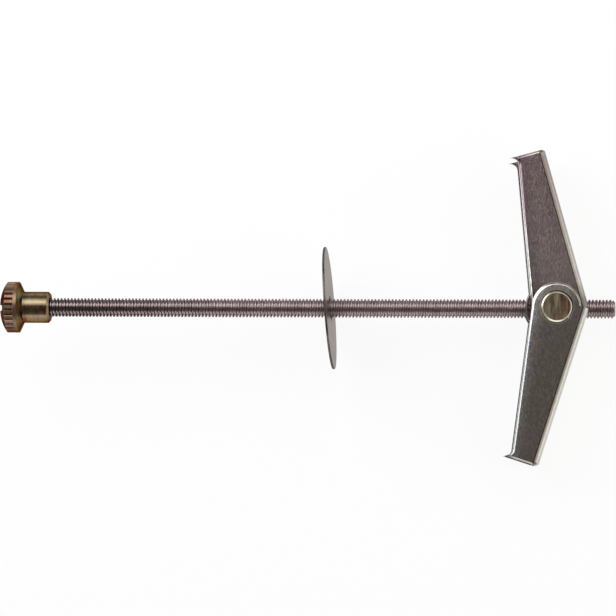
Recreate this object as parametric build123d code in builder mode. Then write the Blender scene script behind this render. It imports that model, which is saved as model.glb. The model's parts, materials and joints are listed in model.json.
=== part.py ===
from build123d import *
import os
from math import asin, atan2, cos, degrees, hypot, radians, sin, tan

# Spring toggle bolt. Lengths are millimetres and angles are degrees.
# Each piece is drawn in the bolt's own frame: X runs along the rod to its free end, Y points to the
# inner wing and Z along the trunnion nut, with the origin where the rod crosses the trunnion nut.
# The finished pieces are then laid down as the bolt comes to rest on a floor.

# Threaded rod
rod_diameter = 3.8
rod_length = 122.5
rod_tail_length = 12.0
rod_end_chamfer = 0.5

# Thumb nut on the rod's other end, measured from its slotted face
nut_length = 10.1
nut_engagement_length = 7.3
nut_bore_depth = 7.7
nut_face_diameter = 4.0
nut_dome_length = 1.35
nut_dome_height = 0.22
nut_band_diameter = 10.4
nut_band_length = 2.35
nut_cone_length = 1.0
nut_collar_diameter = 6.4
nut_collar_chamfer = 0.4
slot_width = 1.25
slot_depth = 0.8
slot_turn = 8.0
knurl_count = 29
knurl_depth = 0.32
knurl_width = 0.6
knurl_length = 3.05

# Washer, loose on the rod between nut and wings
washer_diameter = 25.0
washer_thickness = 0.45
washer_bore = 4.8
washer_edge_radius = 0.15
washer_distance = 45.9
washer_lean = 4.2
washer_turn = 1.7

# Trunnion nut
trunnion_diameter = 6.2
trunnion_proud_length = 0.25
trunnion_chamfer = 0.3

# Sheet-metal wings
sheet_thickness = 0.8
bend_radius = 0.6
wing_length = 31.6
ear_radius = 5.0
tip_width = 5.6
toe_height = 7.4
toe_length = 1.8
edge_radius = 0.6
eye_edge_radius = 0.15
open_lean = 16.65
toggle_cant = 1.15

# Torsion spring
wire_diameter = 0.65
coil_diameter = 9.4
coil_turns = 2
turn_pitch = 0.7
bridge_bend_radius = 0.9

# Clearances, and the overrun of every cut
thread_clearance = 0.05
ear_clearance = 0.1
side_clearance = 0.1
rod_clearance = 0.3
notch_clearance = 0.4
stop_clearance = 0.05
seat_clearance = 0.02
web_clearance = 0.5
overrun = 1.0

# Places along the rod
rod_radius = rod_diameter / 2
rod_start = rod_tail_length - rod_length
nut_mouth = rod_start + nut_engagement_length
nut_face = nut_mouth - nut_length
thread_radius = rod_radius + thread_clearance

# Layers along the trunnion nut, from the rod outwards
wire_radius = wire_diameter / 2
coil_start = rod_radius + rod_clearance + wire_radius
coil_end = coil_start + coil_turns * turn_pitch
inner_half = coil_end + wire_radius + side_clearance
outer_half = inner_half + sheet_thickness + side_clearance
trunnion_half = outer_half + sheet_thickness + trunnion_proud_length
trunnion_radius = trunnion_diameter / 2

# Wing planes: X along the spine to the tip, Y from the spine to the open side, pivot at the origin
inner_lean = open_lean - toggle_cant
outer_lean = open_lean + toggle_cant
inner_plane = Plane((0, 0, 0), x_dir=(-sin(radians(inner_lean)), cos(radians(inner_lean)), 0))
outer_plane = Plane(
    (0, 0, 0),
    x_dir=(-sin(radians(outer_lean)), -cos(radians(outer_lean)), 0),
    z_dir=(0, 0, -1),
)
web_inside = ear_radius + web_clearance
spine_offset = web_inside + sheet_thickness
heel_reach = web_inside * tan(radians(open_lean)) - stop_clearance / 2 / cos(radians(open_lean))

# Flange outline: the open edge runs from the tip to the ear, which it touches
tip_drop = spine_offset - tip_width
taper = degrees(asin(ear_radius / hypot(wing_length, tip_drop)) + atan2(tip_drop, wing_length))
edge_tangent = (cos(radians(taper)), -sin(radians(taper)))
ear_touch = (ear_radius * sin(radians(taper)), ear_radius * cos(radians(taper)))
toe_root = (wing_length - toe_length, -tip_drop + toe_length * tan(radians(taper)))
toe_tip = (wing_length, toe_height - spine_offset)

# Spring coil, pressed by its legs against the trunnion nut
coil_radius = coil_diameter / 2
leg_line = trunnion_radius + seat_clearance + wire_radius
coil_centre = leg_line - coil_radius
near_leg = (web_inside - seat_clearance - wire_radius) / sin(radians(inner_lean))
near_leg -= leg_line / tan(radians(inner_lean))
far_leg = (web_inside - seat_clearance) / sin(radians(outer_lean))
far_leg -= (leg_line + wire_radius) / tan(radians(outer_lean))


with BuildPart() as threaded_rod:
    with BuildSketch(Plane.YZ.offset(rod_start)):
        Circle(rod_radius)
    extrude(amount=rod_length)
    chamfer(threaded_rod.edges().filter_by(GeomType.CIRCLE), rod_end_chamfer)


with BuildPart() as thumb_nut:
    band_radius = nut_band_diameter / 2
    collar_radius = nut_collar_diameter / 2
    band_start = nut_face + nut_dome_length
    band_end = band_start + nut_band_length
    collar_start = band_end + nut_cone_length
    with BuildSketch(Plane.XY):
        with BuildLine():
            Line((nut_face, 0), (nut_face, nut_face_diameter / 2))
            SagittaArc((nut_face, nut_face_diameter / 2), (band_start, band_radius), nut_dome_height)
            Polyline(
                (band_start, band_radius),
                (band_end, band_radius),
                (collar_start, collar_radius),
                (nut_mouth - nut_collar_chamfer, collar_radius),
                (nut_mouth, collar_radius - nut_collar_chamfer),
                (nut_mouth, 0),
                (nut_face, 0),
            )
        make_face()
    revolve(axis=Axis.X)
    with BuildSketch(Plane.YZ.offset(nut_mouth)):
        Circle(thread_radius)
    extrude(amount=-nut_bore_depth, mode=Mode.SUBTRACT)
    # Knurl: straight grooves that run in from the dome and stop short of the band's end
    with BuildSketch(Plane.YZ.offset(nut_face)):
        with PolarLocations(band_radius, knurl_count):
            Polygon(
                (-knurl_depth, 0),
                (knurl_depth, knurl_width),
                (knurl_depth, -knurl_width),
                align=None,
            )
    extrude(amount=knurl_length, mode=Mode.SUBTRACT)
    # Screwdriver slot across the domed end
    with BuildSketch(Plane.YZ.offset(nut_face)):
        Rectangle(slot_width, nut_band_diameter + overrun, rotation=slot_turn)
    extrude(amount=slot_depth, mode=Mode.SUBTRACT)


washer_normal = Vector(1, tan(radians(washer_lean)), tan(radians(washer_turn))).normalized()
washer_skew = washer_normal.get_angle(Vector(1, 0, 0))
washer_lift = washer_bore / 2 - rod_radius - seat_clearance
washer_lift -= washer_thickness / 2 * tan(radians(washer_skew))
washer_plane = Plane((-washer_distance, 0, washer_lift), x_dir=(0, 0, 1), z_dir=washer_normal)

with BuildPart() as washer:
    with BuildSketch(washer_plane):
        Circle(washer_diameter / 2)
        Circle(washer_bore / 2, mode=Mode.SUBTRACT)
    extrude(amount=washer_thickness / 2, both=True)
    fillet(washer.edges().filter_by(GeomType.CIRCLE), washer_edge_radius)


with BuildPart() as trunnion_nut:
    Cylinder(trunnion_radius, 2 * trunnion_half)
    chamfer(trunnion_nut.edges().filter_by(GeomType.CIRCLE), trunnion_chamfer)
    with BuildSketch(Plane.YZ):
        Circle(thread_radius)
    extrude(amount=trunnion_radius + overrun, both=True, mode=Mode.SUBTRACT)


def bent_wing(plane, lean, inside_half):
    """Channel bent from sheet, trimmed to the flange outline, with ears and a notch for the rod."""
    outside_half = inside_half + sheet_thickness
    outer_bend = bend_radius + sheet_thickness
    channel_depth = spine_offset + ear_radius + outer_bend + overrun
    channel_length = wing_length + ear_radius + overrun
    section = Plane(
        plane.from_local_coords((-ear_radius - overrun / 2, -spine_offset, 0)),
        x_dir=-plane.z_dir,
        z_dir=plane.x_dir,
    )
    with BuildPart() as wing:
        with BuildSketch(section):
            with Locations((0, channel_depth / 2)):
                RectangleRounded(2 * outside_half, channel_depth, outer_bend)
            with Locations((0, sheet_thickness + channel_depth / 2)):
                RectangleRounded(2 * inside_half, channel_depth, bend_radius, mode=Mode.SUBTRACT)
        extrude(amount=channel_length)
        with BuildSketch(plane):
            with BuildLine():
                Polyline(
                    (-heel_reach, 0),
                    (-heel_reach, -spine_offset),
                    (wing_length, -spine_offset),
                    toe_tip,
                )
                TangentArc(toe_root, toe_tip, tangent=edge_tangent)
                Polyline(toe_root, ear_touch, (-heel_reach, 0))
            make_face()
            Circle(ear_radius)
        extrude(amount=outside_half + overrun, both=True, mode=Mode.INTERSECT)
        notch_place = -(spine_offset - sheet_thickness / 2) * tan(radians(lean))
        notch = Plane(
            plane.from_local_coords((notch_place, -spine_offset - overrun, 0)),
            x_dir=plane.x_dir,
            z_dir=plane.y_dir,
        )
        with BuildSketch(notch):
            Circle(rod_radius + notch_clearance)
        extrude(amount=sheet_thickness + 2 * overrun, mode=Mode.SUBTRACT)
        # Punching rounds the edges of the sheet's outer side, but the heels that bear stay square
        along = Axis((0, 0, 0), plane.x_dir)
        outside = wing.faces().filter_by(GeomType.CYLINDER).sort_by(SortBy.AREA)[-2:]
        outside += wing.faces().filter_by(GeomType.PLANE).sort_by(Axis((0, 0, 0), plane.y_dir))[:1]
        flanges = wing.faces().filter_by(Axis.Z).sort_by(Axis.Z)
        outside += [flanges[0], flanges[-1]]
        heels = wing.faces().filter_by(along).group_by(along)[0]
        borders = [edge for face in outside for edge in face.edges()]
        kept = [*borders, *heels.edges()]
        rim = [edge for edge in borders if sum(edge.is_same(other) for other in kept) == 1]
        fillet(rim, edge_radius)
        with BuildSketch(plane):
            Circle(trunnion_radius + ear_clearance)
        extrude(amount=outside_half + overrun, both=True, mode=Mode.SUBTRACT)
        eyes = wing.edges(Select.LAST).filter_by(GeomType.CIRCLE).group_by(Axis.Z)
        fillet(eyes[0] + eyes[-1], eye_edge_radius)
    return wing


inner_wing = bent_wing(inner_plane, inner_lean, inner_half)
outer_wing = bent_wing(outer_plane, outer_lean, outer_half)


with BuildPart() as torsion_spring:
    # One half: bridge over the rod, near leg, coil, far leg. The other half is its mirror image.
    with BuildLine() as strand:
        coil = Helix(
            turn_pitch,
            coil_turns * turn_pitch,
            coil_radius,
            center=(coil_centre, 0, coil_start),
            lefthand=True,
        )
        rise = coil % 0
        corner = coil @ 0 - rise * near_leg
        turn = radians(rise.get_angle(Vector(0, 0, 1)))
        setback = bridge_bend_radius * tan(turn / 2)
        leg = Line(coil @ 0, corner + rise * setback)
        bend = TangentArc(leg @ 1, corner - Vector(0, 0, setback), tangent=-rise)
        bridge = Line(bend @ 1, Vector(corner.X, corner.Y, 0))
        Line(coil @ 1, coil @ 1 + (coil % 1) * far_leg)
    with BuildSketch(Plane(bridge @ 1, z_dir=(0, 0, 1))):
        Circle(wire_radius)
    sweep(path=strand.wires()[0])
    mirror(about=Plane.XY)


# Rest: the washer's rim and the outer wing's lower bend touch the floor
bend_edge = bend_radius + sheet_thickness - spine_offset
heel_point = outer_plane.from_local_coords((-heel_reach, bend_edge, outer_half + sheet_thickness))
tip_point = outer_plane.from_local_coords((wing_length, bend_edge, outer_half + sheet_thickness))
rim_point = washer_plane.from_local_coords((-washer_diameter / 2, 0, 0))
upright = (rim_point - heel_point).cross(tip_point - heel_point).normalized()
floor = Plane(heel_point, x_dir=(1, 0, 0), z_dir=upright)
pieces = {
    "threaded_rod": threaded_rod.part,
    "thumb_nut": thumb_nut.part,
    "washer": washer.part,
    "trunnion_nut": trunnion_nut.part,
    "inner_wing": inner_wing.part,
    "outer_wing": outer_wing.part,
    "torsion_spring": torsion_spring.part,
}
lying = floor.to_local_coords(Compound(list(pieces.values()))).bounding_box()
foot = floor.from_local_coords((lying.center().X, lying.center().Y, lying.min.Z))
ground = Plane(foot, x_dir=floor.x_dir, z_dir=floor.z_dir)

os.makedirs("parts", exist_ok=True)
for name, piece in pieces.items():
    laid = ground.to_local_coords(piece)
    laid.label = name
    export_step(laid, f"parts/{name}.step")
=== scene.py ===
import json
from math import atan, cos, hypot, pi, radians, sin, tan

import bmesh
import bpy
from mathutils import Matrix, Vector


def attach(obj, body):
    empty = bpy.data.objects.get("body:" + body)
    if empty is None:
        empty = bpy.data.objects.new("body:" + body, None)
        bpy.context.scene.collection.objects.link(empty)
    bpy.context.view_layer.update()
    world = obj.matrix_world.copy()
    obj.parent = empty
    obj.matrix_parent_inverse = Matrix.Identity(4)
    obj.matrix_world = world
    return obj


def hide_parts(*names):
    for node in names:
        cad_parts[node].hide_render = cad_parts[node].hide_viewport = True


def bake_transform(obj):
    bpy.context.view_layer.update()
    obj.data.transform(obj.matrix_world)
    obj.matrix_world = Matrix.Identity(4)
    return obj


# Spring toggle bolt. Lengths are metres, angles are degrees unless a name says otherwise.
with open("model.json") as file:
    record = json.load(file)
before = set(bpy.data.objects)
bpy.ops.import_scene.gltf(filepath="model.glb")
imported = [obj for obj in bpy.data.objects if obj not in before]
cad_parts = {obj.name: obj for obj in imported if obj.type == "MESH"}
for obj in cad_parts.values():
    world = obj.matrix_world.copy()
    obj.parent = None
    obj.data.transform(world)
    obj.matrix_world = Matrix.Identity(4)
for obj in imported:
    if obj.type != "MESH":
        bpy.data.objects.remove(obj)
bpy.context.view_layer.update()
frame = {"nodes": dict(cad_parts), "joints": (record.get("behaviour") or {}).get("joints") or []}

# Thread of the rod
thread_pitch = 0.0007
thread_depth = 0.00036
thread_steps = 36
spare_turns = 2
crest_share = 0.34
root_share = 0.28
end_chamfer = 0.0005

# Torsion spring
wire_radius = 0.000325
coil_radius = 0.0047
coil_turns = 2
turn_pitch = 0.0007
bridge_bend = 0.0009
wire_steps = 14
coil_steps = 48
bend_steps = 8

# Camera, as the photograph was taken: pixels are those of its 616 by 616 frame
image_width = 616
pixel_size = 0.000204
pivot_pixel = (554.6, 307.4)
camera_distance = 0.52
camera_yaw = 3.2
camera_pitch = 4.4
rod_slope = 0.18

# Bolt frame, from the joints: X along the rod, Z along the trunnion nut, origin where they cross
joints = {joint["name"]: joint for joint in frame["joints"]}
rod_way = Vector(joints["toggle_travel"]["axis"])
pin_way = Vector(joints["inner_wing_fold"]["axis"])
side_way = pin_way.cross(rod_way)
pivot = Vector(joints["inner_wing_fold"]["pos_m"])
bolt = Matrix((rod_way, side_way, pin_way)).transposed().to_4x4()
bolt.translation = pivot

# Axes of the bolt frame, and the axes that a distance is counted over
origin = (0, 0, 0)
rod_axis = (1, 0, 0)
side_axis = (0, 1, 0)
across_rod = (0, 1, 1)
across_pin = (1, 1, 0)
all_axes = (1, 1, 1)


def in_bolt(node):
    """A CAD node's points, seen in the bolt's frame."""
    inverse = bolt.inverted()
    return [inverse @ vertex.co for vertex in frame["nodes"][node].data.vertices]


def in_scene(name, data):
    """A new object, linked to the scene."""
    thing = bpy.data.objects.new(name, data)
    bpy.context.scene.collection.objects.link(thing)
    return thing


def mesh_from(name, builder):
    """A mesh from a bmesh, which is then freed."""
    mesh = bpy.data.meshes.new(name)
    builder.to_mesh(mesh)
    builder.free()
    return mesh


def mesh_piece(name, builder):
    """An object from a bmesh that was made in the bolt's frame, shaded smooth."""
    builder.transform(bolt)
    bmesh.ops.recalc_face_normals(builder, faces=builder.faces)
    mesh = mesh_from(name, builder)
    for face in mesh.polygons:
        face.use_smooth = True
    return in_scene(name, mesh)


# Threaded rod

rod_points = in_bolt("threaded_rod")
rod_start = min(point.x for point in rod_points)
rod_end = max(point.x for point in rod_points)
rod_length = rod_end - rod_start
rod_middle = (rod_start + rod_end) / 2
crest_radius = max(hypot(point.y, point.z) for point in rod_points)
root_radius = crest_radius - thread_depth


def thread_profile():
    """Shares of one pitch and radii: root flat, flank, crest flat, flank."""
    flank_share = (1 - crest_share - root_share) / 2
    flank_radius = (root_radius + crest_radius) / 2
    return [
        (0, root_radius),
        (root_share, root_radius),
        (root_share + flank_share / 2, flank_radius),
        (root_share + flank_share, crest_radius),
        (root_share + flank_share + crest_share, crest_radius),
        (1 - flank_share / 2, flank_radius),
    ]


def thread_rows(builder, profile):
    """Rows of points that wind round the rod from before its start to past its end, with chamfered ends."""
    turns = int(rod_length / thread_pitch) + 2 * spare_turns
    rows = []
    for step in range(turns * thread_steps + 1):
        angle = 2 * pi * step / thread_steps
        row = []
        for share, radius in profile:
            place = rod_start + (step / thread_steps + share - spare_turns) * thread_pitch
            inside = min(place - rod_start, rod_end - place)
            reach = min(radius, crest_radius - end_chamfer + max(inside, 0))
            row.append(builder.verts.new((place, reach * cos(angle), reach * sin(angle))))
        rows.append(row)
    return rows


def join_rows(builder, rows):
    """Faces from each row of points to the next one, and from its end to the row one turn on."""
    for step, (here, there) in enumerate(zip(rows, rows[1:])):
        for k in range(len(here) - 1):
            builder.faces.new((here[k], here[k + 1], there[k + 1], there[k]))
        turn_on = step + thread_steps
        if turn_on + 1 < len(rows):
            builder.faces.new((here[-1], rows[turn_on][0], rows[turn_on + 1][0], there[-1]))


def sharpen_corners(builder, profile, rows):
    """Marks the edges of the root and crest flats as sharp."""
    flats = (crest_radius, root_radius)
    corners = [k for k, (share, radius) in enumerate(profile) if radius in flats]
    for here, there in zip(rows, rows[1:]):
        for k in corners:
            builder.edges.get((here[k], there[k])).smooth = False


def cut_end(builder, place, way):
    """Cuts the thread off at a place along the rod and closes it. The way is 1 or -1, off the rod."""
    cut = bmesh.ops.bisect_plane(
        builder,
        geom=builder.verts[:] + builder.edges[:] + builder.faces[:],
        plane_co=(place, 0, 0),
        plane_no=(way, 0, 0),
        clear_outer=True,
    )
    ring = [item for item in cut["geom_cut"] if isinstance(item, bmesh.types.BMEdge)]
    bmesh.ops.holes_fill(builder, edges=ring, sides=0)


def make_rod():
    """The rod with its real screw thread, cut to length, with chamfered ends."""
    profile = thread_profile()
    builder = bmesh.new()
    rows = thread_rows(builder, profile)
    join_rows(builder, rows)
    sharpen_corners(builder, profile, rows)
    cut_end(builder, rod_start, -1)
    cut_end(builder, rod_end, 1)
    return mesh_piece("threaded_rod_screw", builder)


rod = make_rod()
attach(rod, "bolt")
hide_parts("threaded_rod")


# Torsion spring: two coils on the trunnion nut, a bridge to the inner wing, two legs to the outer wing


def tube(name, path):
    """Round wire along a path, with closed ends."""
    builder = bmesh.new()
    rings = []
    across = None
    for index, point in enumerate(path):
        way = path[min(index + 1, len(path) - 1)] - path[max(index - 1, 0)]
        way.normalize()
        across = way.orthogonal() if across is None else across - way * across.dot(way)
        across.normalize()
        other = way.cross(across)
        ring = []
        for step in range(wire_steps):
            angle = 2 * pi * step / wire_steps
            offset = across * cos(angle) + other * sin(angle)
            ring.append(builder.verts.new(point + offset * wire_radius))
        rings.append(ring)
    for here, there in zip(rings, rings[1:]):
        for step in range(wire_steps):
            beside = (step + 1) % wire_steps
            builder.faces.new((here[step], here[beside], there[beside], there[step]))
    builder.faces.new(rings[0])
    builder.faces.new(rings[-1])
    return mesh_piece(name, builder)


def mirrored(path):
    """The same path on the far side of the rod."""
    return [Vector((point.x, point.y, -point.z)) for point in path]


spring_points = in_bolt("torsion_spring")
coil_centre = min(point.x for point in spring_points) + wire_radius + coil_radius
leg_line = coil_centre + coil_radius
leg_tip = min(point.y for point in spring_points)
lead = turn_pitch / (2 * pi * coil_radius)
coil_end = max(point.z for point in spring_points) - wire_radius + leg_tip * lead
coil_start = coil_end - coil_turns * turn_pitch
bridge_line = max(point.y for point in spring_points) - wire_radius


def coil_path():
    """The near coil, from the bridge's leg to the free leg."""
    path = []
    for step in range(coil_turns * coil_steps + 1):
        angle = 2 * pi * step / coil_steps
        height = coil_start + turn_pitch * step / coil_steps
        path.append(Vector((coil_centre + coil_radius * cos(angle), -coil_radius * sin(angle), height)))
    return path


def leg_path(height, tip):
    """A straight leg from the coil to a tip, in small steps."""
    steps = coil_steps // 2
    path = []
    for step in range(steps + 1):
        reach = tip * step / steps
        path.append(Vector((leg_line, reach, height - reach * lead)))
    return path


def bridge_path():
    """Near leg, bend, bridge, bend, far leg."""
    leg = leg_path(coil_start, bridge_line - bridge_bend)
    low = leg[-1]
    bend = []
    for step in range(1, bend_steps + 1):
        angle = pi / 2 * step / bend_steps
        rise = bridge_bend * sin(angle)
        inward = bridge_bend * (1 - cos(angle))
        bend.append(Vector((leg_line, low.y + rise, low.z - inward)))
    half = leg + bend
    return half + mirrored(half)[::-1]


def make_spring():
    """The spring's five pieces. The coils ride on the toggle; the bridge and legs, listed with a wing, are
    only baked in place.
    """
    coil = coil_path()
    leg = leg_path(coil_end, leg_tip)
    pieces = {
        "spring_coil_near": ("toggle", coil),
        "spring_coil_far": ("toggle", mirrored(coil)),
        "spring_bridge": ("wing_inner", bridge_path()),
        "spring_leg_near": ("wing_outer", leg),
        "spring_leg_far": ("wing_outer", mirrored(leg)),
    }
    made = []
    for name, (body, path) in pieces.items():
        piece = tube(name, path)
        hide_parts("torsion_spring")
        if body != "toggle":
            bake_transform(piece)
        else:
            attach(piece, body)
        made.append(piece)
    return made


spring = make_spring()


# Materials

# Most values of a noise lie between these two
noise_low = 0.3
noise_high = 0.7
white = (1.0, 1.0, 1.0)


def grey(level):
    """A colour that is the same in red, green and blue."""
    return (level, level, level)


class Nodes:
    """A material's node tree, with short calls to add and link nodes."""

    def __init__(self, name):
        self.material = bpy.data.materials.new(name)
        self.material.use_nodes = True
        self.tree = self.material.node_tree
        self.shader = self.tree.nodes["Principled BSDF"]
        self.shader.inputs["Metallic"].default_value = 1.0
        self.place = self.add("ShaderNodeTexCoord").outputs["Object"]

    def add(self, kind, **settings):
        """A new node with its settings."""
        node = self.tree.nodes.new(kind)
        for key, value in settings.items():
            setattr(node, key, value)
        return node

    def link(self, output, socket):
        """Joins an output to an input."""
        self.tree.links.new(output, socket)

    def turned(self, stretch):
        """Object coordinates in the bolt's frame, stretched along its axes."""
        mapping = self.add("ShaderNodeMapping", vector_type="POINT")
        mapping.inputs["Location"].default_value = bolt.inverted().translation
        mapping.inputs["Rotation"].default_value = bolt.inverted().to_euler()
        self.link(self.place, mapping.inputs["Vector"])
        scale = self.add("ShaderNodeVectorMath", operation="MULTIPLY")
        scale.inputs[1].default_value = stretch
        self.link(mapping.outputs["Vector"], scale.inputs[0])
        return scale.outputs["Vector"]

    def noise(self, vector, scale, detail, roughness=0.55):
        """A noise from 0 to 1."""
        node = self.add("ShaderNodeTexNoise")
        node.inputs["Scale"].default_value = scale
        node.inputs["Detail"].default_value = detail
        node.inputs["Roughness"].default_value = roughness
        self.link(vector, node.inputs["Vector"])
        return node.outputs["Fac"]

    def ramp(self, value, stops):
        """A colour by a value from 0 to 1."""
        node = self.add("ShaderNodeValToRGB")
        elements = node.color_ramp.elements
        while len(elements) < len(stops):
            elements.new(position=0.5)
        for element, (place, colour) in zip(elements, stops):
            element.position = place
            element.color = (*colour, 1.0)
        self.link(value, node.inputs["Fac"])
        return node.outputs["Color"]

    def spread(self, noise, low, high):
        """A noise, spread from a low value to a high one."""
        node = self.add("ShaderNodeMapRange")
        node.inputs["From Min"].default_value = noise_low
        node.inputs["From Max"].default_value = noise_high
        node.inputs["To Min"].default_value = low
        node.inputs["To Max"].default_value = high
        self.link(noise, node.inputs["Value"])
        return node.outputs["Result"]

    def blend(self, factor, first, second, mode="MIX", clamp=False):
        """Two colours in one. The factor is a number or another node's output."""
        node = self.add("ShaderNodeMix", data_type="RGBA", blend_type=mode, clamp_result=clamp)
        self.link(first, node.inputs["A"])
        self.link(second, node.inputs["B"])
        if isinstance(factor, float):
            node.inputs["Factor"].default_value = factor
        else:
            self.link(factor, node.inputs["Factor"])
        return node.outputs["Result"]

    def bump(self, value, depth):
        """Bumps of a depth on the surface."""
        node = self.add("ShaderNodeBump")
        node.inputs["Strength"].default_value = 1.0
        node.inputs["Distance"].default_value = depth
        self.link(value, node.inputs["Height"])
        self.link(node.outputs["Normal"], self.shader.inputs["Normal"])


def plating(name, tone_shares, mottle, grain, streak, contrast, roughness, bump_depth, rim_tone=white):
    """Zinc plate on steel: mottled tone, fine grain drawn out along the streak, uneven gloss."""
    nodes = Nodes(name)
    nodes.shader.inputs["Specular Tint"].default_value = (*rim_tone, 1.0)
    spots = nodes.noise(nodes.place, mottle, detail=3.0)
    lines = nodes.noise(nodes.turned(streak), grain, detail=2.0)
    body = nodes.ramp(spots, tone_shares)
    fine = nodes.ramp(lines, ((noise_low, grey(1 - contrast)), (noise_high, white)))
    nodes.link(nodes.blend(1.0, body, fine, mode="MULTIPLY"), nodes.shader.inputs["Base Color"])
    nodes.link(nodes.spread(lines, *roughness), nodes.shader.inputs["Roughness"])
    nodes.bump(lines, bump_depth)
    return nodes


def wing_plating(name, tone_shares):
    """Bright zinc on rolled sheet, with its grain along the wing."""
    return plating(
        name,
        tone_shares,
        mottle=260,
        grain=4200,
        streak=(1, 0.35, 1),
        contrast=0.22,
        roughness=(0.13, 0.21),
        bump_depth=0.0000007,
    )


def paint(piece, material):
    """Gives a piece one material."""
    piece.data.materials.clear()
    piece.data.materials.append(material)


rod_plate = plating(
    "rod_zinc",
    tone_shares=((0.3, (0.25, 0.195, 0.20)), (0.7, (0.36, 0.285, 0.285))),
    mottle=600,
    grain=2500,
    streak=(0.3, 1, 1),
    contrast=0.15,
    roughness=(0.16, 0.26),
    bump_depth=0.000004,
    rim_tone=(0.25, 0.22, 0.22),
)
washer_plate = plating(
    "washer_zinc",
    tone_shares=((0.3, (0.28, 0.255, 0.24)), (0.7, (0.38, 0.345, 0.325))),
    mottle=350,
    grain=3000,
    streak=(1, 1, 1),
    contrast=0.12,
    roughness=(0.24, 0.36),
    bump_depth=0.000003,
    rim_tone=(0.6, 0.55, 0.52),
)
inner_plate = wing_plating(
    "inner_wing_zinc",
    tone_shares=(
        (0.3, (0.53, 0.45, 0.48)),
        (0.43, (0.62, 0.53, 0.51)),
        (0.55, (0.57, 0.52, 0.46)),
        (0.68, (0.61, 0.50, 0.52)),
    ),
)
outer_plate = wing_plating(
    "outer_wing_zinc",
    tone_shares=(
        (0.3, (0.43, 0.42, 0.44)),
        (0.43, (0.51, 0.46, 0.43)),
        (0.55, (0.46, 0.46, 0.39)),
        (0.68, (0.53, 0.45, 0.45)),
    ),
)
wire_steel = plating(
    "spring_wire_steel",
    tone_shares=((0.3, (0.13, 0.115, 0.11)), (0.7, (0.22, 0.195, 0.185))),
    mottle=900,
    grain=4000,
    streak=(1, 1, 0.3),
    contrast=0.15,
    roughness=(0.25, 0.38),
    bump_depth=0.000003,
)
nut_plate = plating(
    "nut_yellow_zinc",
    tone_shares=(
        (0.3, (0.25, 0.15, 0.12)),
        (0.43, (0.38, 0.28, 0.17)),
        (0.55, (0.29, 0.30, 0.19)),
        (0.68, (0.37, 0.25, 0.20)),
    ),
    mottle=500,
    grain=4200,
    streak=(1, 0.08, 0.08),
    contrast=0.35,
    roughness=(0.10, 0.20),
    bump_depth=0.000004,
    rim_tone=(0.25, 0.20, 0.14),
)
pin_plate = plating(
    "pin_yellow_zinc",
    tone_shares=(
        (0.3, (0.50, 0.37, 0.27)),
        (0.45, (0.62, 0.55, 0.38)),
        (0.6, (0.58, 0.52, 0.34)),
        (0.75, (0.46, 0.31, 0.23)),
    ),
    mottle=700,
    grain=2200,
    streak=(1, 0.12, 1),
    contrast=0.6,
    roughness=(0.26, 0.40),
    bump_depth=0.000002,
)


# Finishes: tones that change from place to place on a piece; most of them are painted light and shade

waver_scale = 900
waver_share = 0.10


def scaled(size, shares, start=0.0):
    """Stops of a colour: shares of a size, counted from a start, become lengths."""
    return [(start + share * size, tone) for share, tone in shares]


def ramp_over(nodes, length, stops):
    """A colour by a length in metres, with wavering borders."""
    low = min(place for place, tone in stops)
    high = max(place for place, tone in stops)
    waver = nodes.noise(nodes.place, waver_scale, detail=2.0)
    share = nodes.add("ShaderNodeMapRange", clamp=False)
    share.inputs["From Min"].default_value = low
    share.inputs["From Max"].default_value = high
    share.inputs["To Min"].default_value = -waver_share / 2
    share.inputs["To Max"].default_value = 1 - waver_share / 2
    nodes.link(length, share.inputs["Value"])
    nudge = nodes.add("ShaderNodeMath", operation="MULTIPLY_ADD")
    nudge.inputs[1].default_value = waver_share
    nodes.link(waver, nudge.inputs[0])
    nodes.link(share.outputs["Result"], nudge.inputs[2])
    tone_shares = [((place - low) / (high - low), tone) for place, tone in stops]
    return nodes.ramp(nudge.outputs["Value"], tone_shares)


def along(nodes, way, stops):
    """A colour that changes along a way in the bolt's frame, measured from the pivot."""
    dot = nodes.add("ShaderNodeVectorMath", operation="DOT_PRODUCT")
    dot.inputs[1].default_value = way
    nodes.link(nodes.turned(all_axes), dot.inputs[0])
    return ramp_over(nodes, dot.outputs["Value"], stops)


def around(nodes, centre, axes, stops):
    """A colour by the distance from a centre, counted over the axes that are 1 and not 0."""
    offset = nodes.add("ShaderNodeVectorMath", operation="SUBTRACT")
    offset.inputs[1].default_value = [place * axis for place, axis in zip(centre, axes)]
    nodes.link(nodes.turned(axes), offset.inputs[0])
    length = nodes.add("ShaderNodeVectorMath", operation="LENGTH")
    nodes.link(offset.outputs["Vector"], length.inputs[0])
    return ramp_over(nodes, length.outputs["Value"], stops)


def cover(nodes, zone, tone):
    """Lays a colour over a finish's base colour, where the zone is 1 and not 0."""
    base = nodes.shader.inputs["Base Color"]
    nodes.link(nodes.blend(zone, base.links[0].from_socket, tone), base)


def tinted(nodes, tone):
    """A finish's base colour, multiplied by another colour."""
    base = nodes.shader.inputs["Base Color"]
    return nodes.blend(1.0, base.links[0].from_socket, tone, mode="MULTIPLY", clamp=True)


def tint(nodes, tone):
    """Multiplies a finish's base colour by another colour."""
    nodes.link(tinted(nodes, tone), nodes.shader.inputs["Base Color"])


def dull(nodes, more):
    """Adds to a finish's roughness."""
    gloss = nodes.shader.inputs["Roughness"]
    total = nodes.add("ShaderNodeMath", operation="ADD")
    nodes.link(gloss.links[0].from_socket, total.inputs[0])
    nodes.link(more, total.inputs[1])
    nodes.link(total.outputs["Value"], gloss)
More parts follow.
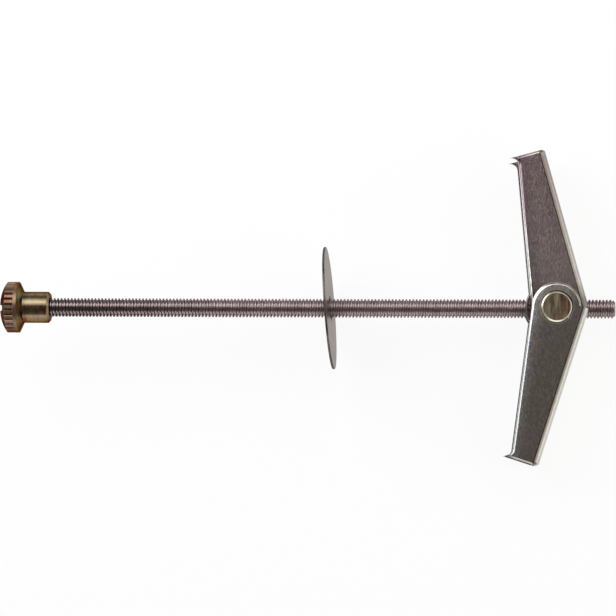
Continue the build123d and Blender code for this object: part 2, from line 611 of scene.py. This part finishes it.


# Thumb nut: tones along its length from the slotted end, with painted shade at the collar's root, and
# painted shade in its grooves by the radius
knurl_tint = (0.80, 0.58, 0.62)
cone_tint = (0.74, 0.64, 0.57)
# Painted shade where the collar meets the cone
collar_root_shade_tint = (0.62, 0.52, 0.48)
collar_tint = (0.84, 0.72, 0.68)
mouth_tint = (0.80, 0.66, 0.60)
nut_tint_shares = (
    (0, knurl_tint),
    (0.30, knurl_tint),
    (0.40, cone_tint),
    (0.50, collar_root_shade_tint),
    (0.58, collar_tint),
    (0.85, collar_tint),
    (1, mouth_tint),
)
nut_dull_shares = ((0, grey(0.25)), (0.30, grey(0.25)), (0.50, grey(0.05)))
knurl_zone_shares = ((0, grey(0)), (0.13, grey(1)), (0.30, grey(1)), (0.40, grey(0)))
# Painted shade deep in the knurl's grooves
groove_shade_shares = ((0.93, grey(0.42)), (0.985, grey(1)))


def finish_nut():
    """Thumb nut: brown knurl with painted shade in its grooves, olive cone, painted shade at the collar's
    root, yellow collar.
    """
    points = in_bolt("thumb_nut")
    start = min(point.x for point in points)
    length = max(point.x for point in points) - start
    radius = max(hypot(point.y, point.z) for point in points)

    def lengthwise(shares):
        return along(nut_plate, rod_axis, scaled(length, shares, start))

    tint(nut_plate, lengthwise(nut_tint_shares))
    dull(nut_plate, lengthwise(nut_dull_shares))
    grooves = around(nut_plate, origin, across_rod, scaled(radius, groove_shade_shares))
    cover(nut_plate, lengthwise(knurl_zone_shares), tinted(nut_plate, grooves))


# Trunnion nut: tones across its end, and a painted highlight on its chamfer, by its radius
pin_radius = max(point.x for point in in_bolt("trunnion_nut"))
pin_left_tint = (0.70, 0.65, 0.67)
pin_right_tint = (0.55, 0.40, 0.34)
pin_tint_shares = ((-1, pin_left_tint), (0, pin_left_tint), (0.5, pin_right_tint), (1, pin_right_tint))
# Painted highlight on the chamfer, bright on the left and darker to the right
pin_rim_highlight_shares = ((0.2, (0.95, 0.86, 0.68)), (0.9, (0.50, 0.44, 0.38)))
pin_rim_shares = ((0.87, grey(0)), (0.91, grey(1)))


def finish_pin():
    """Trunnion nut: olive to red-brown across its ends, with a painted highlight on its chamfer that fades
    to the right.
    """
    tint(pin_plate, along(pin_plate, rod_axis, scaled(pin_radius, pin_tint_shares)))
    rim = around(pin_plate, origin, across_pin, scaled(pin_radius, pin_rim_shares))
    cover(pin_plate, rim, along(pin_plate, rod_axis, scaled(pin_radius, pin_rim_highlight_shares)))


# Washer: painted shade out from its bore, by the bore's radius, and painted shade at its edge, by the outer
# radius
washer_bore_shade_shares = ((1, grey(0.15)), (1.35, grey(1)))
washer_edge_shade_shares = ((0.965, grey(1)), (0.99, grey(0.35)))


def finish_washer():
    """Washer: painted shade in its bore and on its edge."""
    points = in_bolt("washer")
    lows = [min(point[axis] for point in points) for axis in range(3)]
    highs = [max(point[axis] for point in points) for axis in range(3)]
    centre = [(low + high) / 2 for low, high in zip(lows, highs)]
    reaches = [hypot(point.y - centre[1], point.z - centre[2]) for point in points]
    stops = scaled(min(reaches), washer_bore_shade_shares) + scaled(max(reaches), washer_edge_shade_shares)
    tint(washer_plate, around(washer_plate, centre, all_axes, stops))


# Rod: painted light and shade along its length from the nut
rod_light_and_shade_shares = ((0.10, grey(0.82)), (0.40, grey(1.38)), (0.88, grey(1.38)), (0.95, grey(1.2)))
rod_dull_shares = ((0.10, grey(0)), (0.40, grey(0.13)))


def finish_rod():
    """Rod: painted shade near the nut, painted light along its middle that eases off at its free end, duller
    from its middle on.
    """
    tint(rod_plate, along(rod_plate, rod_axis, scaled(rod_length, rod_light_and_shade_shares, rod_start)))
    dull(rod_plate, along(rod_plate, rod_axis, scaled(rod_length, rod_dull_shares, rod_start)))


# Outer wing's ear: painted highlight and shade, by how far it reaches above the pivot
ear_top_highlight_shares = ((0.2, grey(1)), (0.75, grey(1.9)), (0.86, grey(1.9)), (0.93, grey(1)))
ear_ring_shares = ((0.87, grey(0)), (0.91, grey(1)), (1.02, grey(1)), (1.08, grey(0)))
ear_upper_shares = ((0, grey(0)), (0.1, grey(1)))
ear_arc_shade_shares = ((-0.6, grey(1)), (-0.2, grey(0.55)), (0.5, grey(0.42)))
ear_side_highlight_shares = ((0.4, grey(1.22)), (0.9, grey(1)))


def finish_ear():
    """Outer wing's ear: painted highlight above the trunnion nut and on its open side, with a painted shade
    arc on its rim.
    """
    reach = max(point.y for point in in_bolt("outer_wing"))
    tint(outer_plate, along(outer_plate, side_axis, scaled(reach, ear_top_highlight_shares)))
    ring = around(outer_plate, origin, across_pin, scaled(reach, ear_ring_shares))
    upper = along(outer_plate, side_axis, scaled(reach, ear_upper_shares))
    arc = outer_plate.blend(1.0, ring, upper, mode="MULTIPLY")
    shade = along(outer_plate, rod_axis, scaled(reach, ear_arc_shade_shares))
    cover(outer_plate, arc, tinted(outer_plate, shade))
    open_side = (-reach, 0, 0)
    tint(outer_plate, around(outer_plate, open_side, across_pin, scaled(reach, ear_side_highlight_shares)))


# Wings: sizes that both share, a painted dark reflection at the toe, and a painted shadow and highlight
# round the trunnion nut
ear_radius = -min(point.x for point in in_bolt("outer_wing") if abs(point.y) < pin_radius)
fold_width = 0.0014
toe_width = 0.0026
# Painted dark reflection at the toe
toe_dark_reflection_shares = ((0.4, grey(0.14)), (1, grey(1)))
# Painted shadow in the gap round the trunnion nut, then a painted highlight on the hole's rim
eye_shadow_and_highlight_shares = ((1.03, grey(0.25)), (1.07, grey(0.25)), (1.09, grey(1.5)), (1.16, grey(1)))


def flat_way(turn):
    """A way across the trunnion nut, turned from the rod."""
    return Vector((cos(radians(turn)), sin(radians(turn)), 0))


def finish_wing(
    nodes, node, side, edge_turn, edge_painted_light_shares, dull_shares, spine_turn, fold_painted_light_shares, length_painted_light_shares
):
    """Wing: painted shade and highlight towards its open edge, painted light and shade along its length,
    painted shade on its fold (on the outer wing then a painted highlight), a painted dark reflection at its
    toe, and a painted highlight round the trunnion nut behind a painted shadow in the gap. The side is 1 for
    the inner wing and -1 for the outer one.
    Shares are of the ear's radius at the edge, of the fold's width at the fold, and of the wing's length."""
    points = in_bolt(node)
    edge_way = -flat_way(edge_turn)
    spine_way = flat_way(spine_turn)
    spine_reach = max(point.dot(spine_way) for point in points)
    tip_reach = max(side * point.y for point in points)
    toe = min(points, key=lambda point: point.x - side * point.y)
    tint(nodes, along(nodes, edge_way, scaled(ear_radius, edge_painted_light_shares)))
    dull(nodes, along(nodes, edge_way, scaled(ear_radius, dull_shares)))
    tint(nodes, along(nodes, (0, side, 0), scaled(tip_reach, length_painted_light_shares)))
    tint(nodes, along(nodes, spine_way, scaled(fold_width, fold_painted_light_shares, spine_reach)))
    tint(nodes, around(nodes, toe, across_pin, scaled(toe_width, toe_dark_reflection_shares)))
    tint(nodes, around(nodes, origin, across_pin, scaled(pin_radius, eye_shadow_and_highlight_shares)))


finish_nut()
finish_pin()
finish_washer()
finish_rod()
finish_ear()

# Inner wing: painted shade then a painted highlight at its open edge, painted shade on its fold, painted
# shade near the pivot and a painted highlight towards the root, and a pinker tone at the tip
inner_root_highlight_tint = (1.35, 1.32, 1.38)
finish_wing(
    inner_plate,
    "inner_wing",
    side=1,
    edge_turn=5.7,
    edge_painted_light_shares=(
        (0.4, grey(1)),
        (0.84, (0.74, 0.74, 0.78)),
        (0.91, (0.42, 0.42, 0.44)),
        (0.94, (1.6, 1.85, 1.8)),
    ),
    dull_shares=((0.4, grey(0)), (0.9, grey(0))),
    spine_turn=15.5,
    fold_painted_light_shares=(
        (-1.00, grey(1)),
        (-0.90, (0.30, 0.31, 0.28)),
        (-0.57, (0.36, 0.40, 0.37)),
        (-0.29, (0.62, 0.68, 0.67)),
    ),
    length_painted_light_shares=(
        (0.05, grey(0.6)),
        (0.16, inner_root_highlight_tint),
        (0.3, inner_root_highlight_tint),
        (0.94, (0.90, 0.76, 0.86)),
        (0.97, grey(1)),
    ),
)

# Outer wing: painted sheen and a painted highlight at its open edge, painted shade then a painted highlight
# on its fold, and painted light along its length
outer_edge_sheen_tint = (1.08, 1.14, 1.24)
finish_wing(
    outer_plate,
    "outer_wing",
    side=-1,
    edge_turn=-9.0,
    edge_painted_light_shares=(
        (0.4, grey(1)),
        (0.84, outer_edge_sheen_tint),
        (0.91, outer_edge_sheen_tint),
        (0.94, (1.45, 1.55, 1.65)),
    ),
    dull_shares=((0.4, grey(0)), (0.9, grey(0.10))),
    spine_turn=-17.8,
    fold_painted_light_shares=(
        (-1.00, grey(1)),
        (-0.90, (0.20, 0.20, 0.19)),
        (-0.57, (0.45, 0.45, 0.46)),
        (-0.29, (1.15, 1.17, 1.20)),
    ),
    length_painted_light_shares=((0.05, grey(1.1)), (0.3, grey(1.1)), (0.94, grey(1.15)), (0.97, grey(1))),
)

paint(rod, rod_plate.material)
for spring_piece in spring:
    paint(spring_piece, wire_steel.material)
for node, finish in (
    ("thumb_nut", nut_plate),
    ("trunnion_nut", pin_plate),
    ("washer", washer_plate),
    ("inner_wing", inner_plate),
    ("outer_wing", outer_plate),
):
    paint(frame["nodes"][node], finish.material)


# Stage: floor, world, lights and camera

floor_half = 1.5
floor_tone = 0.9
floor_roughness = 0.9
floor_glow_share = 0.9
cool = (0.94, 0.98, 1.0)
warm = (1.0, 0.99, 0.90)
sky_low_share = 0.35
sky_high_share = 0.8
sky_pale = (0.30, 0.29, 0.28)
sky_dark = (0.14, 0.125, 0.12)
wing_key_place = 0.085


def floor_finish():
    """Matt white that mostly glows where it is seen, straight or in a reflection."""
    nodes = Nodes("floor_white")
    nodes.shader.inputs["Metallic"].default_value = 0.0
    nodes.shader.inputs["Base Color"].default_value = (*grey(floor_tone), 1)
    nodes.shader.inputs["Roughness"].default_value = floor_roughness
    glow = nodes.add("ShaderNodeEmission")
    mix = nodes.add("ShaderNodeMixShader")
    rays = nodes.add("ShaderNodeLightPath")
    seen = rays.outputs["Is Camera Ray"]
    for kind in ("Is Glossy Ray", "Is Transmission Ray"):
        either = nodes.add("ShaderNodeMath", operation="MAXIMUM")
        nodes.link(seen, either.inputs[0])
        nodes.link(rays.outputs[kind], either.inputs[1])
        seen = either.outputs["Value"]
    share = nodes.add("ShaderNodeMath", operation="MULTIPLY")
    share.inputs[1].default_value = floor_glow_share
    nodes.link(seen, share.inputs[0])
    nodes.link(share.outputs["Value"], mix.inputs["Fac"])
    nodes.link(nodes.shader.outputs["BSDF"], mix.inputs[1])
    nodes.link(glow.outputs["Emission"], mix.inputs[2])
    nodes.link(mix.outputs["Shader"], nodes.tree.nodes["Material Output"].inputs["Surface"])
    return nodes


def make_floor():
    """A pale floor that shows white and keeps a faint shadow."""
    builder = bmesh.new()
    corners = ((-1, -1), (1, -1), (1, 1), (-1, 1))
    builder.faces.new([builder.verts.new((x * floor_half, y * floor_half, 0)) for x, y in corners])
    floor = in_scene("floor", mesh_from("floor", builder))
    paint(floor, floor_finish().material)


def make_world():
    """A studio that is pale round the horizon and darker overhead."""
    world = bpy.data.worlds.new("studio")
    bpy.context.scene.world = world
    world.use_nodes = True
    tree = world.node_tree
    place = tree.nodes.new("ShaderNodeTexCoord")
    split = tree.nodes.new("ShaderNodeSeparateXYZ")
    tree.links.new(place.outputs["Generated"], split.inputs["Vector"])
    ramp = tree.nodes.new("ShaderNodeValToRGB")
    pale, dark = ramp.color_ramp.elements
    pale.position = sky_low_share
    pale.color = (*sky_pale, 1)
    dark.position = sky_high_share
    dark.color = (*sky_dark, 1)
    tree.links.new(split.outputs["Z"], ramp.inputs["Fac"])
    tree.links.new(ramp.outputs["Color"], tree.nodes["Background"].inputs["Color"])
    tree.nodes["Background"].inputs["Strength"].default_value = 1.0


def softbox(name, way, size, glow, distance=0.4, over=rod_middle, colour=white):
    """An area light that looks at the bolt, at a place along the rod, from a way in the bolt's frame."""
    light = bpy.data.lights.new(name, "AREA")
    light.shape = "RECTANGLE"
    light.size, light.size_y = size
    light.energy = glow * pi * light.size * light.size_y
    light.color = colour
    lamp = in_scene(name, light)
    middle = bolt @ Vector((over, 0, 0))
    out = (bolt.to_3x3() @ Vector(way)).normalized()
    lamp.location = middle + out * distance
    lamp.rotation_euler = out.to_track_quat("Z", "Y").to_euler()


def make_camera():
    """Looks along the trunnion nut, a little from the free end and from below, as in the photograph."""
    half = image_width / 2
    aim_x = (half - pivot_pixel[0]) * pixel_size
    aim_y = (pivot_pixel[1] - half) * pixel_size
    slope = radians(rod_slope)
    aim = Vector((aim_x * cos(slope), aim_y - aim_x * sin(slope), 0))
    out = Vector((tan(radians(camera_yaw)), -tan(radians(camera_pitch)), 1)).normalized()
    across = Vector((cos(slope), sin(slope), 0))
    across = (across - out * across.dot(out)).normalized()
    turn = Matrix((across, out.cross(across), out)).transposed()
    lens = bpy.data.cameras.new("photo_camera")
    lens.sensor_fit = "HORIZONTAL"
    lens.angle = 2 * atan(half * pixel_size / camera_distance)
    camera = in_scene("photo_camera", lens)
    place = turn.to_4x4()
    place.translation = aim + out * camera_distance
    camera.matrix_world = bolt @ place
    bpy.context.scene.camera = camera


make_floor()
make_world()
softbox("rod_key", way=(0.0, 0.58, 0.8), size=(0.25, 0.31), glow=1.2, distance=0.35, over=rod_start)
softbox("wing_key", way=(0.0, 0.72, 0.8), size=(0.20, 0.26), glow=1.4, distance=0.35, over=wing_key_place)
softbox("low_fill", way=(0.0, -1, 0.3), size=(0.5, 0.2), glow=1.15, colour=cool)
softbox("nut_side", way=(-0.8, 0.55, 0.55), size=(0.4, 0.5), glow=2.6, colour=cool)
softbox("tail_side", way=(0.9, 0.0, 0.4), size=(0.4, 0.6), glow=1.5, colour=warm)
make_camera()
bpy.context.scene.view_settings.view_transform = "Standard"
